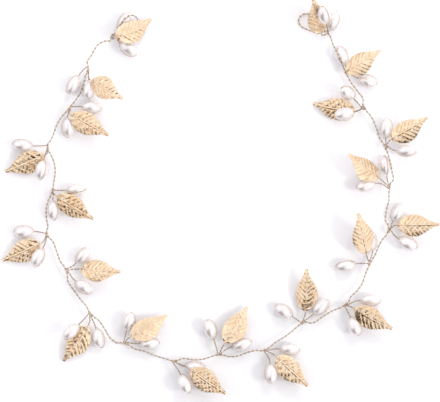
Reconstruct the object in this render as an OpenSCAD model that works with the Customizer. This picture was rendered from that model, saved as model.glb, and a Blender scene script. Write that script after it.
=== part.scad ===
// Bridal hair vine: a long twisted wire that lies in an open U, with 21 sprigs tied along it.
// Each sprig is one wire wrapped round the long wire, with a stamped leaf and two oval pearls.
// All lengths are in millimetres. The floor that the vine lies on is z = 0.

/* [Pearls] */
// Length of one oval pearl along its bore
pearl_len = 8.2; // [8:0.1:8.4]
// Width of one oval pearl
pearl_w = 5.4; // [5:0.1:5.6]
// Bore through a pearl
pearl_bore = 0.8; // [0.7:0.05:1]

/* [Leaves] */
// Length of one leaf from its base to its tip
leaf_len = 18.4; // [18:0.1:19]
// Width of one leaf at its widest
leaf_w = 10; // [9:0.25:10.5]
// Thickness of the leaf sheet
leaf_t = 0.35; // [0.3:0.05:0.5]
// How far the side edges of a leaf drop below its midrib
leaf_cup = 1; // [0.5:0.1:1.4]
// How far the middle of a leaf arches above its ends
leaf_arch = 0.9; // [0.4:0.1:1.4]
// Hole near the base of a leaf that its wire is threaded through
leaf_hole = 1; // [0.9:0.05:1.2]

/* [Wire] */
// Diameter of two strands twisted together
pair_d = 0.6; // [0.5:0.05:0.6]
// Diameter of one strand
strand_d = 0.3; // [0.25:0.01:0.3]
// Diameter of the knot that ties a sprig to the long wire
wrap_d = 2; // [1.8:0.1:2.2]
// Length of the long wire that is straight inside a knot
wrap_len = 3; // [2.6:0.1:3.2]

/* [Layout] */
// Size of one step of the layout chart
step = 0.43; // [0.425:0.005:0.44]

/* [Hidden] */
SPRIGS = 21;
SPRIGS_PER_WIRE_NODE = 3;
WIRE_NODES = SPRIGS / SPRIGS_PER_WIRE_NODE;

function two_digits(i) = i < 10 ? str("0", i) : str(i);
function sprig_wire_name(i) = str("sprig_wires_", i);
function leaf_name(i) = str("leaf_", two_digits(i));
function pearls_name(i) = str("pearls_", two_digits(i));

// The layout chart is read from above: across to the right and down, in steps.
CHART_MIDDLE = [220, 197.2];

// One row for each knot: across, down, height in millimetres
HEIGHT = 2;
KNOTS = [
    [114, 35.5, 3.2],
    [87.5, 69, 3],
    [70, 107, 3],
    [48, 147, 3],
    [52, 191.5, 3],
    [47.5, 234.5, 3],
    [66, 271, 3],
    [91, 314, 3.4],
    [125, 344, 3.4],
    [174.5, 360.5, 3.6],
    [219.5, 355.1, 3.4],
    [265.5, 349.5, 3.6],
    [303, 323.5, 3],
    [345.5, 304.5, 3.6],
    [370.5, 263, 3],
    [388, 230, 3.2],
    [390, 186.5, 3.6],
    [385, 147, 3.6],
    [364.5, 107, 3.4],
    [346, 72.5, 3.4],
    [327, 33, 2.8]
];

// The route of the long wire between its knots: across, down, height. Row i runs from knot i
// to the next, and it climbs where it passes over a pearl.
STRETCHES = [
    [[111, 40, 3], [105, 41, 2.8], [98, 44.5, 2.6], [94, 50, 2.6], [90.5, 56.5, 2.8], [87, 62, 3]],
    [[85.5, 76.5, 4.8], [84, 84, 5.4], [81.5, 91, 4.8], [77, 98, 3.6]],
    [[63.5, 114.5, 2.8], [57.5, 123, 2.6], [54, 132, 2.6], [50, 141, 2.8]],
    [[51, 155, 2.8], [54, 163, 2.6], [55, 172, 2.6], [53.5, 183, 2.8]],
    [[48.5, 200, 3.6], [46.3, 209, 4.4], [46.5, 219, 4.2], [47.6, 228, 3.2]],
    [[51.5, 240, 2.8], [56, 250, 2.6], [60, 261, 2.8]],
    [[67.5, 280, 3], [73.5, 290, 2.8], [80, 299, 2.8], [87, 307.5, 3.2]],
    [[98, 320, 3.2], [104.5, 329, 3], [111, 339, 3], [117, 343, 3.2]],
    [[134, 348.5, 3.2], [145, 351.5, 3], [156, 356, 3], [166, 359, 3.4]],
    [[182, 358.8, 3.4], [192, 359.7, 3.2], [202, 359.5, 3], [211, 356.8, 3.2]],
    [[228, 356.6, 3.2], [238, 356, 3], [247, 352.7, 3], [257, 350.5, 3.4]],
    [[274, 343.5, 3.4], [283, 338, 3], [292, 331.5, 3]],
    [[311, 323.3, 3], [323, 316.5, 3], [333, 310.7, 3.2]],
    [[350.5, 297.5, 3.4], [357, 291, 3], [362, 284, 2.8], [366, 273, 2.8]],
    [[375, 255.5, 3], [378, 248, 3], [382, 240.5, 3]],
    [[385.7, 221, 3], [386.5, 211, 3], [389, 199, 3.2]],
    [[392.9, 180.5, 4], [391.8, 171, 4.6], [389.8, 160.5, 5]],
    [[380.5, 139.5, 3.4], [377, 129.5, 3], [371.5, 117, 3.2]],
    [[363.3, 100, 3.2], [357.5, 91, 3], [350.5, 81.5, 3]],
    [[341.5, 63, 5.4], [337, 53, 5.8], [332.5, 43.5, 4.6]]
];

// The eye at each end of the long wire: across, down, height, from its free end to the knot
LEFT_EYE = [
    [118, 30, 4.2], [121, 24, 6], [126, 18, 6.4], [132, 15.5, 5.4], [137.5, 19, 3.2],
    [138.5, 24.5, 2.6], [134, 31.5, 2.8], [126, 35.5, 3.2], [119, 36.5, 3.2]
];
RIGHT_EYE = [
    [321, 27, 1.8], [316, 20, 1.4], [310, 14, 1], [303, 14, 0.8], [299, 19, 0.8],
    [300.5, 25, 0.8], [307, 29, 1], [314, 31.5, 1.2], [320, 33, 1.6]
];

// One row for each leaf: the chart places of its base and tip, the lift of its tip and the
// roll of its left side in degrees, the height of its lowest point, and how far its middle is
// bowed to the left in millimetres
BASE_ACROSS = 0;
BASE_DOWN = 1;
TIP_ACROSS = 2;
TIP_DOWN = 3;
LIFT = 4;
TURN = 5;
RISE = 6;
BOW = 7;
LEAVES = [
    [116.8, 38.1, 151.2, 18.9, -23, 8, 1.2, -1],
    [91.8, 81, 123, 99.5, 32, 11, 4.6, 0.2],
    [71.6, 115, 108.3, 135.2, 4, -3, 5.1, -0.1],
    [43.9, 155.6, 5.3, 171.8, -12, -6, 0.8, 0.1],
    [57.3, 196.3, 92.9, 218.9, 2, 13, 3.9, -0.1],
    [40.2, 243.5, 1.9, 261.1, -10, -2, 0.8, 0.1],
    [80.8, 269.2, 120.6, 271.6, 21, -8, 2.2, -0.3],
    [87.2, 326.7, 63, 361.5, -8, -4, 1, 0.7],
    [131.3, 336.4, 167.2, 314.9, -12, 4, 3.3, -0.9],
    [190.6, 369.6, 226, 393.5, 3, 5, 5.6, -0.2],
    [225.1, 342.3, 247.3, 306.6, -11, -2, 2.2, -0.6],
    [276.4, 356.8, 307.7, 385.8, 2, 0, 5, -0.2],
    [305.3, 310.8, 306.6, 269, 8, -17, 2.4, -0.5],
    [354.4, 308.4, 391.9, 328.7, -5, 14, 4.7, -0.5],
    [366.1, 253.4, 357.4, 213.4, 17, 14, 5, 0],
    [397.6, 225.4, 438.5, 224.5, 17, -5, 3.2, -0.2],
    [379.1, 177.8, 347.7, 154.5, 24, 22, 3.6, 1],
    [391.5, 139.4, 426.4, 118, 17, -14, 3.6, -0.4],
    [353.4, 110.4, 314.2, 104, -13, -10, 0.6, 0.6],
    [346.1, 71.8, 379.6, 51.2, 23, -18, 4.2, -0.5],
    [321.3, 33, 312.1, 0.5, 38, 8, 2.8, 0]
];

// One row for each pearl, two rows a sprig: the chart places of its base and tip, the lift of
// its tip, the turn of its returning strand to the right of straight up, and the height of its
// lowest point in millimetres
PEARLS_PER_SPRIG = 2;
PEARLS = [
    [121, 43, 136, 54, 0, 70, 0],
    [119.5, 29.5, 129.5, 13, 0, -60, 0],
    [78, 77, 69, 93, 8, 60, 0],
    [88, 81, 88.5, 98, 14, -75, 0],
    [82, 106.2, 101, 107.7, 0, 70, 0],
    [68, 118, 68.5, 137, 0, 75, 0],
    [32, 146, 12.5, 144.5, 0, 60, 0],
    [44, 160.4, 39.5, 179.9, 0, -40, 3.9],
    [67, 190, 85, 189, 8, 25, 0],
    [52.5, 201, 53, 219.5, 0, -50, 0],
    [33, 232, 14.5, 232.5, 0, 75, 0],
    [42.5, 249, 34, 265.5, 0, -60, 3.6],
    [76.5, 263, 90, 248, 0, -60, 0],
    [76, 281, 91, 292.5, 0, 60, 0],
    [79, 324, 64, 338, 8, -60, 5],
    [95.5, 329, 100.5, 348, 0, -70, 0],
    [126.2, 331, 131.2, 312, 6, 70, 1.2],
    [139, 344, 160.5, 343.5, 0, -60, 0],
    [180, 374, 189, 394, 8, -75, 2.4],
    [186, 367, 204, 369, 0, -80, 0],
    [213, 338, 207, 320.5, 8, 70, 1],
    [233.3, 347, 251.3, 342.5, 0, -60, 0],
    [270.5, 364, 271.5, 383, 10, 70, 1.5],
    [281, 348.7, 299, 349.2, 0, 60, 0],
    [291, 316.2, 276.3, 306.8, 10, 75, 0],
    [313, 314.2, 328.5, 298.9, 0, 70, 0],
    [350, 317, 358.5, 336, 8, -88, 1.2],
    [361, 300.2, 381, 299.7, 0, 60, 0],
    [355, 264.2, 336.5, 267.2, 0, 45, 0],
    [372, 250, 368.5, 231, 0, 80, 0],
    [393.5, 221.6, 403.5, 203, 0, -80, 0],
    [398.1, 238.7, 417.1, 248.7, 8, -75, 1.6],
    [374.5, 184, 357, 188, 8, 70, 1.6],
    [386.5, 174.5, 384, 155.5, 0, 20, 0],
    [385.5, 138.2, 386, 117.2, 0, 75, 0],
    [397.5, 150.4, 415, 151.6, 12, 50, 2.6],
    [353, 98.5, 341, 88, 36, 75, 2.4],
    [352.5, 112.3, 334.5, 115.8, 4, -80, 6.6],
    [345, 65, 337, 46.5, 0, 75, 0],
    [358.5, 78.5, 376.5, 84, 0, -75, 0],
    [325.5, 25, 321, 7.5, 25, 40, 9.4],
    [330, 28.6, 336.2, 12.2, 0, 60, 0]
];

// Clearances between centres of strands and what they pass, and the bends of a stem
WRAP_GAP = 0.22;
WRAP_RADIUS = pair_d / 2 + strand_d / 2 + WRAP_GAP;
WRAP_PITCH = 0.38;
WRAP_STEP = 72;
LEAST_TURN = 120;
PAIR_APART = 0.42;
PAIR_LEAD = 0.5;
LEAF_LEAD = 0.9;
STRAND_OFF_PEARL = 0.42;
STRAND_OFF_LEAF = 0.38;
STEM_BEND = 0.4;
STEM_STEPS = 3;
// Fineness of the faceted pieces
PAIR_SIDES = 6;
STRAND_SIDES = 4;
ROUND = 32;
PEARL_BANDS = 16;
LEAF_STATIONS = [0, 0.07, 0.17, 0.3, 0.44, 0.58, 0.72, 0.86, 1];
LEAF_COLUMNS = [-1, -0.5, 0, 0.5, 1];
// First side that a tube faces, which no path here runs along
NEARLY_UP = [0.1, 0.2, 1];

function unit(v) = v / norm(v);
function plan(c, z) = [(c.x - CHART_MIDDLE.x) * step, (CHART_MIDDLE.y - c.y) * step, z];
function knot(i) = plan(KNOTS[i], KNOTS[i][HEIGHT]);

// A tube or a leaf is a row of rings, each with the same number of points.
module loft(rings) {
    n = len(rings[0]);
    last = len(rings) - 1;
    points = [for (ring = rings) for (p = ring) p];
    sides = [
        for (i = [0 : last - 1]) for (k = [0 : n - 1])
            let (a = i * n + k, b = i * n + (k + 1) % n)
            each [[a, b, a + n], [b, b + n, a + n]]
    ];
    start = [for (k = [0 : n - 1]) n - 1 - k];
    end = [for (k = [0 : n - 1]) last * n + k];
    polyhedron(points, concat(sides, [start, end]), convexity = 6);
}

// Direction of a path at its point i
function along(path, i) = let (
    before = path[max(i - 1, 0)],
    after = path[min(i + 1, len(path) - 1)]
) unit(after - before);

// Rings of a tube round a path: each is square to the path and turned no more than it must be
function squared(v, t) = unit(v - t * (v * t));
function tube_rings(path, d, sides) = [
    for (
        i = 0, u = squared(NEARLY_UP, along(path, 0));
        i < len(path);
        i = i + 1, u = squared(u, along(path, min(i, len(path) - 1)))
    ) let (v = cross(u, along(path, i)))
        [for (k = [0 : sides - 1]) path[i] + (u * cos(k * 360 / sides)
            + v * sin(k * 360 / sides)) * d / 2]
];

module tube(path, d, sides) loft(tube_rings(path, d, sides));

// Placing of a piece whose local X axis runs from its base to its tip
function heading(row) = atan2(row[BASE_DOWN] - row[TIP_DOWN], row[TIP_ACROSS] - row[BASE_ACROSS]);
function middle(row, z) = plan([
    (row[BASE_ACROSS] + row[TIP_ACROSS]) / 2,
    (row[BASE_DOWN] + row[TIP_DOWN]) / 2
], z);
function facing(row) = [
    cos(row[LIFT]) * cos(heading(row)),
    cos(row[LIFT]) * sin(heading(row)),
    sin(row[LIFT])
];
module lay(row, z, turn = 0)
    translate(middle(row, z)) rotate([turn, -row[LIFT], heading(row)]) children();

// The same placing for one point of the piece
function laid_direction(p, row) = let (
    y = p.y * cos(row[TURN]) - p.z * sin(row[TURN]),
    z = p.y * sin(row[TURN]) + p.z * cos(row[TURN]),
    x = p.x * cos(row[LIFT]) - z * sin(row[LIFT]),
    h = heading(row)
) [x * cos(h) - y * sin(h), x * sin(h) + y * cos(h), p.x * sin(row[LIFT]) + z * cos(row[LIFT])];
function laid(p, row, z) = middle(row, z) + laid_direction(p, row);

// The long wire
function knot_direction(i) = let (
    before = i == 0 ? LEFT_EYE[len(LEFT_EYE) - 1] : STRETCHES[i - 1][len(STRETCHES[i - 1]) - 1],
    after = i == SPRIGS - 1 ? RIGHT_EYE[len(RIGHT_EYE) - 1] : STRETCHES[i][0]
) unit(plan(after, 0) - plan(before, 0));
function through_knot(i) = [
    knot(i) - knot_direction(i) * wrap_len / 2,
    knot(i) + knot_direction(i) * wrap_len / 2
];
function charted(points) = [for (p = points) plan(p, p[HEIGHT])];
function reversed(list) = [for (i = [len(list) - 1 : -1 : 0]) list[i]];
function core_route() = concat(
    charted(LEFT_EYE),
    [for (i = [0 : SPRIGS - 2]) each concat(through_knot(i), charted(STRETCHES[i]))],
    through_knot(SPRIGS - 1),
    reversed(charted(RIGHT_EYE))
);

module core_wire()
    color("tan") tube(core_route(), pair_d, PAIR_SIDES);

// Pearls
function pearl_drop(row) = norm([pearl_len / 2 * sin(row[LIFT]), pearl_w / 2 * cos(row[LIFT])]);
function pearl_height(row) = row[RISE] + pearl_drop(row);

module pearl() {
    opening = asin(pearl_bore / pearl_w);
    outline = [
        for (k = [0 : PEARL_BANDS])
            let (a = opening + (180 - 2 * opening) * k / PEARL_BANDS)
            [pearl_w / 2 * sin(a), pearl_len / 2 * cos(a)]
    ];
    rotate([0, 90, 0]) rotate_extrude($fn = ROUND) polygon(outline);
}

module pearls(sprig)
    color("ivory")
        for (k = [0 : PEARLS_PER_SPRIG - 1])
            let (row = PEARLS[sprig * PEARLS_PER_SPRIG + k])
            lay(row, pearl_height(row)) pearl();

// Leaves: shares of the length or width at the widest place, the base and the tip, how full
// the leaf is before and after its widest place, and where its hole is
WIDEST = 0.42;
BASE_SHARE = 0.12;
TIP_SHARE = 0.14;
FULL_BEFORE = 0.75;
FULL_AFTER = 0.85;
HOLE_AT = 2;
HOLE_CUT = 8;

// Half the width at a share t of the length, and the height of the upper face
function half_width(t) = leaf_w / 2 * (t < WIDEST
    ? BASE_SHARE + (1 - BASE_SHARE) * (1 - (1 - t / WIDEST) ^ 2) ^ FULL_BEFORE
    : TIP_SHARE + (1 - TIP_SHARE)
        * ((1 + cos(180 * (t - WIDEST) / (1 - WIDEST))) / 2) ^ FULL_AFTER);
function leaf_z(t, c) =
    leaf_arch * 4 * t * (1 - t) - leaf_cup * (half_width(t) * 2 / leaf_w) ^ 2 * c ^ 2;
function bowed(t, row) = row[BOW] * 16 * t ^ 2 * (1 - t) ^ 2;
function leaf_ring(t, row) = let (
    x = (t - 0.5) * leaf_len,
    y = bowed(t, row),
    w = half_width(t)
) concat(
    [for (c = LEAF_COLUMNS) [x, y + w * c, leaf_z(t, c)]],
    [for (c = reversed(LEAF_COLUMNS)) [x, y + w * c, leaf_z(t, c) - leaf_t]]
);
function leaf_rings(row) = [for (t = LEAF_STATIONS) leaf_ring(t, row)];
function hole_place(row, z) = [HOLE_AT - leaf_len / 2, bowed(HOLE_AT / leaf_len, row), z];

// Lowest point of the leaf below its middle, once it is rolled and lifted
function leaf_drop(row) = -min([
    for (ring = leaf_rings(row)) for (p = ring)
        p.x * sin(row[LIFT]) + (p.y * sin(row[TURN]) + p.z * cos(row[TURN])) * cos(row[LIFT])
]);
function leaf_height(row) = row[RISE] + leaf_drop(row);

module leaf(sprig) {
    row = LEAVES[sprig];
    color("goldenrod") lay(row, leaf_height(row), row[TURN]) difference() {
        loft(leaf_rings(row));
        translate(hole_place(row, 0))
            cylinder(h = HOLE_CUT, d = leaf_hole, center = true, $fn = ROUND);
    }
}

// A sprig is tied on with one strand. It winds round the long wire and, at each of its three
// pieces, runs out, goes through the piece and comes back beside itself as a pair.
RETURN_ANGLES = [25, 55, 90, 125, 155];
function pearl_loop(row) = let (
    z = pearl_height(row),
    a = pearl_len / 2 + STRAND_OFF_PEARL,
    b = pearl_w / 2 + STRAND_OFF_PEARL,
    points = concat(
        [[pearl_len / 2 + strand_d, 0, 0]],
        [for (angle = RETURN_ANGLES) [a * cos(angle), 0, b * sin(angle)]]
    )
) [for (p = points) laid(p, row, z)];
function pearl_end(row) =
    laid([-pearl_len / 2 - PAIR_LEAD, 0, PAIR_APART / 2], row, pearl_height(row));

function leaf_loop(row) = let (
    z = leaf_height(row),
    base = -leaf_len / 2,
    top = leaf_z(HOLE_AT / leaf_len, 0),
    points = [
        [base, 0, -leaf_t - STRAND_OFF_LEAF],
        hole_place(row, top - leaf_t - STRAND_OFF_LEAF),
        hole_place(row, top + STRAND_OFF_LEAF),
        [base, 0, STRAND_OFF_LEAF]
    ]
) [for (p = points) laid(p, row, z)];
function leaf_end(row) =
    laid([-leaf_len / 2 - LEAF_LEAD, 0, -leaf_t / 2], row, leaf_height(row));

// Winding round the long wire at knot i, at an angle from its left side and a place along it
function wound(i, angle, ahead, radius) = let (
    t = knot_direction(i),
    left = unit(cross([0, 0, 1], t))
) knot(i) + t * ahead + (left * cos(angle) + [0, 0, 1] * sin(angle)) * radius;
function leaving_angle(i, end) = let (
    d = end - knot(i),
    left = unit(cross([0, 0, 1], knot_direction(i)))
) atan2(d.z, d * left);

function bezier(a, b, c, s) = a * (1 - s) ^ 2 + b * 2 * s * (1 - s) + c * s ^ 2;

// The pair of strands of one stem, out and back; side is -1 for the way out and 1 for the way back
function stem_side(i, angle, ahead, row, end, side) = let (
    start = wound(i, angle, ahead, wrap_d / 2 + PAIR_APART / 2),
    chord = unit(end - start),
    bend = end - facing(row) * norm(end - start) * STEM_BEND,
    first = squared(knot_direction(i), chord),
    second = cross(chord, first),
    last = laid_direction([0, 0, 1], row),
    twist = atan2(last * second, last * first)
) [
    for (k = [0 : STEM_STEPS]) let (s = k / STEM_STEPS)
        bezier(start, bend, end, s) + side * PAIR_APART / 2
            * (first * cos(twist * s) + second * sin(twist * s))
];

// What a sprig wire goes through, in turn: the row of the piece, the end of its stem and the
// path through it
PIECE_ROW = 0;
STEM_END = 1;
PIECE_PATH = 2;
function pearl_piece(row) = [row, pearl_end(row), pearl_loop(row)];
function sprig_pieces(i) = [
    pearl_piece(PEARLS[i * PEARLS_PER_SPRIG]),
    [LEAVES[i], leaf_end(LEAVES[i]), leaf_loop(LEAVES[i])],
    pearl_piece(PEARLS[i * PEARLS_PER_SPRIG + 1])
];
// Turn from one angle on to another, and one turn more if that would be a short one
function winding(from, to) = let (turn = (to - from) % 360, ahead = turn < 0 ? turn + 360 : turn)
    ahead < LEAST_TURN ? ahead + 360 : ahead;

function sprig_path(i) = let (
    pieces = sprig_pieces(i),
    angles = [for (piece = pieces) leaving_angle(i, piece[STEM_END])],
    turns = concat(
        [LEAST_TURN],
        [for (k = [1 : len(pieces) - 1]) winding(angles[k - 1], angles[k])],
        [LEAST_TURN]
    ),
    starts = concat([angles[0] - LEAST_TURN], angles),
    places = [
        for (
            k = 0, x = 0;
            k < len(turns);
            x = x + turns[k] * WRAP_PITCH / 360 + PAIR_APART, k = k + 1
        ) x
    ],
    whole = places[len(places) - 1] + LEAST_TURN * WRAP_PITCH / 360
) [
    for (k = [0 : len(turns) - 1]) let (steps = ceil(turns[k] / WRAP_STEP), x = places[k] - whole / 2)
        each concat(
            [for (j = [0 : steps]) let (turn = turns[k] * j / steps)
                wound(i, starts[k] + turn, x + turn * WRAP_PITCH / 360, WRAP_RADIUS)],
            k == len(pieces) ? [] : let (
                row = pieces[k][PIECE_ROW],
                end = pieces[k][STEM_END],
                ahead = x + turns[k] * WRAP_PITCH / 360 + PAIR_APART / 2
            ) concat(
                stem_side(i, angles[k], ahead, row, end, -1),
                pieces[k][PIECE_PATH],
                reversed(stem_side(i, angles[k], ahead, row, end, 1))
            )
        )
];

module sprig_wire(i) tube(sprig_path(i), strand_d, STRAND_SIDES);

module sprig_wires(group)
    color("darkgoldenrod")
        for (k = [0 : SPRIGS_PER_WIRE_NODE - 1]) sprig_wire(group * SPRIGS_PER_WIRE_NODE + k);

core_wire();
for (i = [1 : WIRE_NODES])
    sprig_wires(i - 1);
for (i = [1 : SPRIGS])
    leaf(i - 1);
for (i = [1 : SPRIGS])
    pearls(i - 1);
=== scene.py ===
# %% [markdown]
# # A bridal hair vine
# The vine is a long wire of two twisted strands that lies in an open U. Twenty-one sprigs are
# tied along it, each with a stamped gold leaf and two oval pearls on short twisted stems.
#
# The packed model gives the fixed frame: each plain CAD node is replaced here by a finer piece
# in the same place. Loading it comes first, so that everything after it shares its frame.

# %% Load the frame
import math
from collections import namedtuple

import bpy
import numpy as np
from mathutils import Matrix, Vector


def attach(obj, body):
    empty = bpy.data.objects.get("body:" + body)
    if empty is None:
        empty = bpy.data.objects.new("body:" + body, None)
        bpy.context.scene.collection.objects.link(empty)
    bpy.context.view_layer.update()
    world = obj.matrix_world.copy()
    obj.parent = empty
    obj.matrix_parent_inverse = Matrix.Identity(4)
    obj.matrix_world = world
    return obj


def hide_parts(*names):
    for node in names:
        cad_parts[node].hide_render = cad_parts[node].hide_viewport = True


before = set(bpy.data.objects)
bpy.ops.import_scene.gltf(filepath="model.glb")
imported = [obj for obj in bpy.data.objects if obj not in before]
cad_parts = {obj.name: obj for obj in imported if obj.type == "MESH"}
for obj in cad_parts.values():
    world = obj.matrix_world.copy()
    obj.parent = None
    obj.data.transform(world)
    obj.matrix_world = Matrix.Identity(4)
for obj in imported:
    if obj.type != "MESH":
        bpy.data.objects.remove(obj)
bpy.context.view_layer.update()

# %% [markdown]
# # The layout chart
# A hair vine is bent by hand, so no formula gives its places. They are read from above, on a
# chart whose steps are 0.43 mm: across to the right and down. Here the chart of the CAD part is
# repeated, because each finer piece has to lie where its node is. One row is one bead, leaf or
# bend of the wire. The alternative, tracing the CAD meshes, would tie the shapes to their facets.

# %% The chart's scale, and where the middle of the vine is on it
STEP = 0.43
CHART_MIDDLE = (220, 197.2)
MM = 0.001


def plan(across, down, height=0.0):
    """A place on the chart, in millimetres in the shared frame."""
    return np.array([(across - CHART_MIDDLE[0]) * STEP, (CHART_MIDDLE[1] - down) * STEP, height])


print("the chart's upper left corner is at", plan(0, 0), "mm")

# %% Knots: across, down, height
KNOTS = [
    (114, 35.5, 3.2), (87.5, 69, 3), (70, 107, 3), (48, 147, 3), (52, 191.5, 3), (47.5, 234.5, 3),
    (66, 271, 3), (91, 314, 3.4), (125, 344, 3.4), (174.5, 360.5, 3.6), (219.5, 355.1, 3.4),
    (265.5, 349.5, 3.6), (303, 323.5, 3), (345.5, 304.5, 3.6), (370.5, 263, 3), (388, 230, 3.2),
    (390, 186.5, 3.6), (385, 147, 3.6), (364.5, 107, 3.4), (346, 72.5, 3.4), (327, 33, 2.8),
]
print(len(KNOTS), "knots")

# %% Stretches of the long wire from each knot to the next: across, down, height
STRETCHES = [
    [(111, 40, 3), (105, 41, 2.8), (98, 44.5, 2.6), (94, 50, 2.6), (90.5, 56.5, 2.8), (87, 62, 3)],
    [(85.5, 76.5, 4.8), (84, 84, 5.4), (81.5, 91, 4.8), (77, 98, 3.6)],
    [(63.5, 114.5, 2.8), (57.5, 123, 2.6), (54, 132, 2.6), (50, 141, 2.8)],
    [(51, 155, 2.8), (54, 163, 2.6), (55, 172, 2.6), (53.5, 183, 2.8)],
    [(48.5, 200, 3.6), (46.3, 209, 4.4), (46.5, 219, 4.2), (47.6, 228, 3.2)],
    [(51.5, 240, 2.8), (56, 250, 2.6), (60, 261, 2.8)],
    [(67.5, 280, 3), (73.5, 290, 2.8), (80, 299, 2.8), (87, 307.5, 3.2)],
    [(98, 320, 3.2), (104.5, 329, 3), (111, 339, 3), (117, 343, 3.2)],
    [(134, 348.5, 3.2), (145, 351.5, 3), (156, 356, 3), (166, 359, 3.4)],
    [(182, 358.8, 3.4), (192, 359.7, 3.2), (202, 359.5, 3), (211, 356.8, 3.2)],
    [(228, 356.6, 3.2), (238, 356, 3), (247, 352.7, 3), (257, 350.5, 3.4)],
    [(274, 343.5, 3.4), (283, 338, 3), (292, 331.5, 3)],
    [(311, 323.3, 3), (323, 316.5, 3), (333, 310.7, 3.2)],
    [(350.5, 297.5, 3.4), (357, 291, 3), (362, 284, 2.8), (366, 273, 2.8)],
    [(375, 255.5, 3), (378, 248, 3), (382, 240.5, 3)],
    [(385.7, 221, 3), (386.5, 211, 3), (389, 199, 3.2)],
    [(392.9, 180.5, 4), (391.8, 171, 4.6), (389.8, 160.5, 5)],
    [(380.5, 139.5, 3.4), (377, 129.5, 3), (371.5, 117, 3.2)],
    [(363.3, 100, 3.2), (357.5, 91, 3), (350.5, 81.5, 3)],
    [(341.5, 63, 5.4), (337, 53, 5.8), (332.5, 43.5, 4.6)],
]
print(len(STRETCHES), "stretches, with", sum(map(len, STRETCHES)), "points")

# %% The eye at each end of the long wire, from its free end to the knot
LEFT_EYE = [
    (118, 30, 4.2), (121, 24, 6), (126, 18, 6.4), (132, 15.5, 5.4), (137.5, 19, 3.2),
    (138.5, 24.5, 2.6), (134, 31.5, 2.8), (126, 35.5, 3.2), (119, 36.5, 3.2),
]
RIGHT_EYE = [
    (321, 27, 1.8), (316, 20, 1.4), (310, 14, 1), (303, 14, 0.8), (299, 19, 0.8),
    (300.5, 25, 0.8), (307, 29, 1), (314, 31.5, 1.2), (320, 33, 1.6),
]
print("the eyes have", len(LEFT_EYE), "and", len(RIGHT_EYE), "points")

# %% Leaves
# Base across and down, tip across and down, lift of the tip and roll of the left side up in
# degrees, height of the lowest point, bow of the middle to the left.
Row = namedtuple("Row", "base_x base_y tip_x tip_y lift roll rise bow", defaults=[0.0])
LEAVES = [Row(*numbers) for numbers in [
    (116.8, 38.1, 151.2, 18.9, -23, 8, 1.2, -1), (91.8, 81, 123, 99.5, 32, 11, 4.6, 0.2),
    (71.6, 115, 108.3, 135.2, 4, -3, 5.1, -0.1), (43.9, 155.6, 5.3, 171.8, -12, -6, 0.8, 0.1),
    (57.3, 196.3, 92.9, 218.9, 2, 13, 3.9, -0.1), (40.2, 243.5, 1.9, 261.1, -10, -2, 0.8, 0.1),
    (80.8, 269.2, 120.6, 271.6, 21, -8, 2.2, -0.3), (87.2, 326.7, 63, 361.5, -8, -4, 1, 0.7),
    (131.3, 336.4, 167.2, 314.9, -12, 4, 3.3, -0.9), (190.6, 369.6, 226, 393.5, 3, 5, 5.6, -0.2),
    (225.1, 342.3, 247.3, 306.6, -11, -2, 2.2, -0.6), (276.4, 356.8, 307.7, 385.8, 2, 0, 5, -0.2),
    (305.3, 310.8, 306.6, 269, 8, -17, 2.4, -0.5), (354.4, 308.4, 391.9, 328.7, -5, 14, 4.7, -0.5),
    (366.1, 253.4, 357.4, 213.4, 17, 14, 5, 0), (397.6, 225.4, 438.5, 224.5, 17, -5, 3.2, -0.2),
    (379.1, 177.8, 347.7, 154.5, 24, 22, 3.6, 1), (391.5, 139.4, 426.4, 118, 17, -14, 3.6, -0.4),
    (353.4, 110.4, 314.2, 104, -13, -10, 0.6, 0.6), (346.1, 71.8, 379.6, 51.2, 23, -18, 4.2, -0.5),
    (321.3, 33, 312.1, 0.5, 38, 8, 2.8, 0),
]]
print(len(LEAVES), "leaves")

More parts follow.
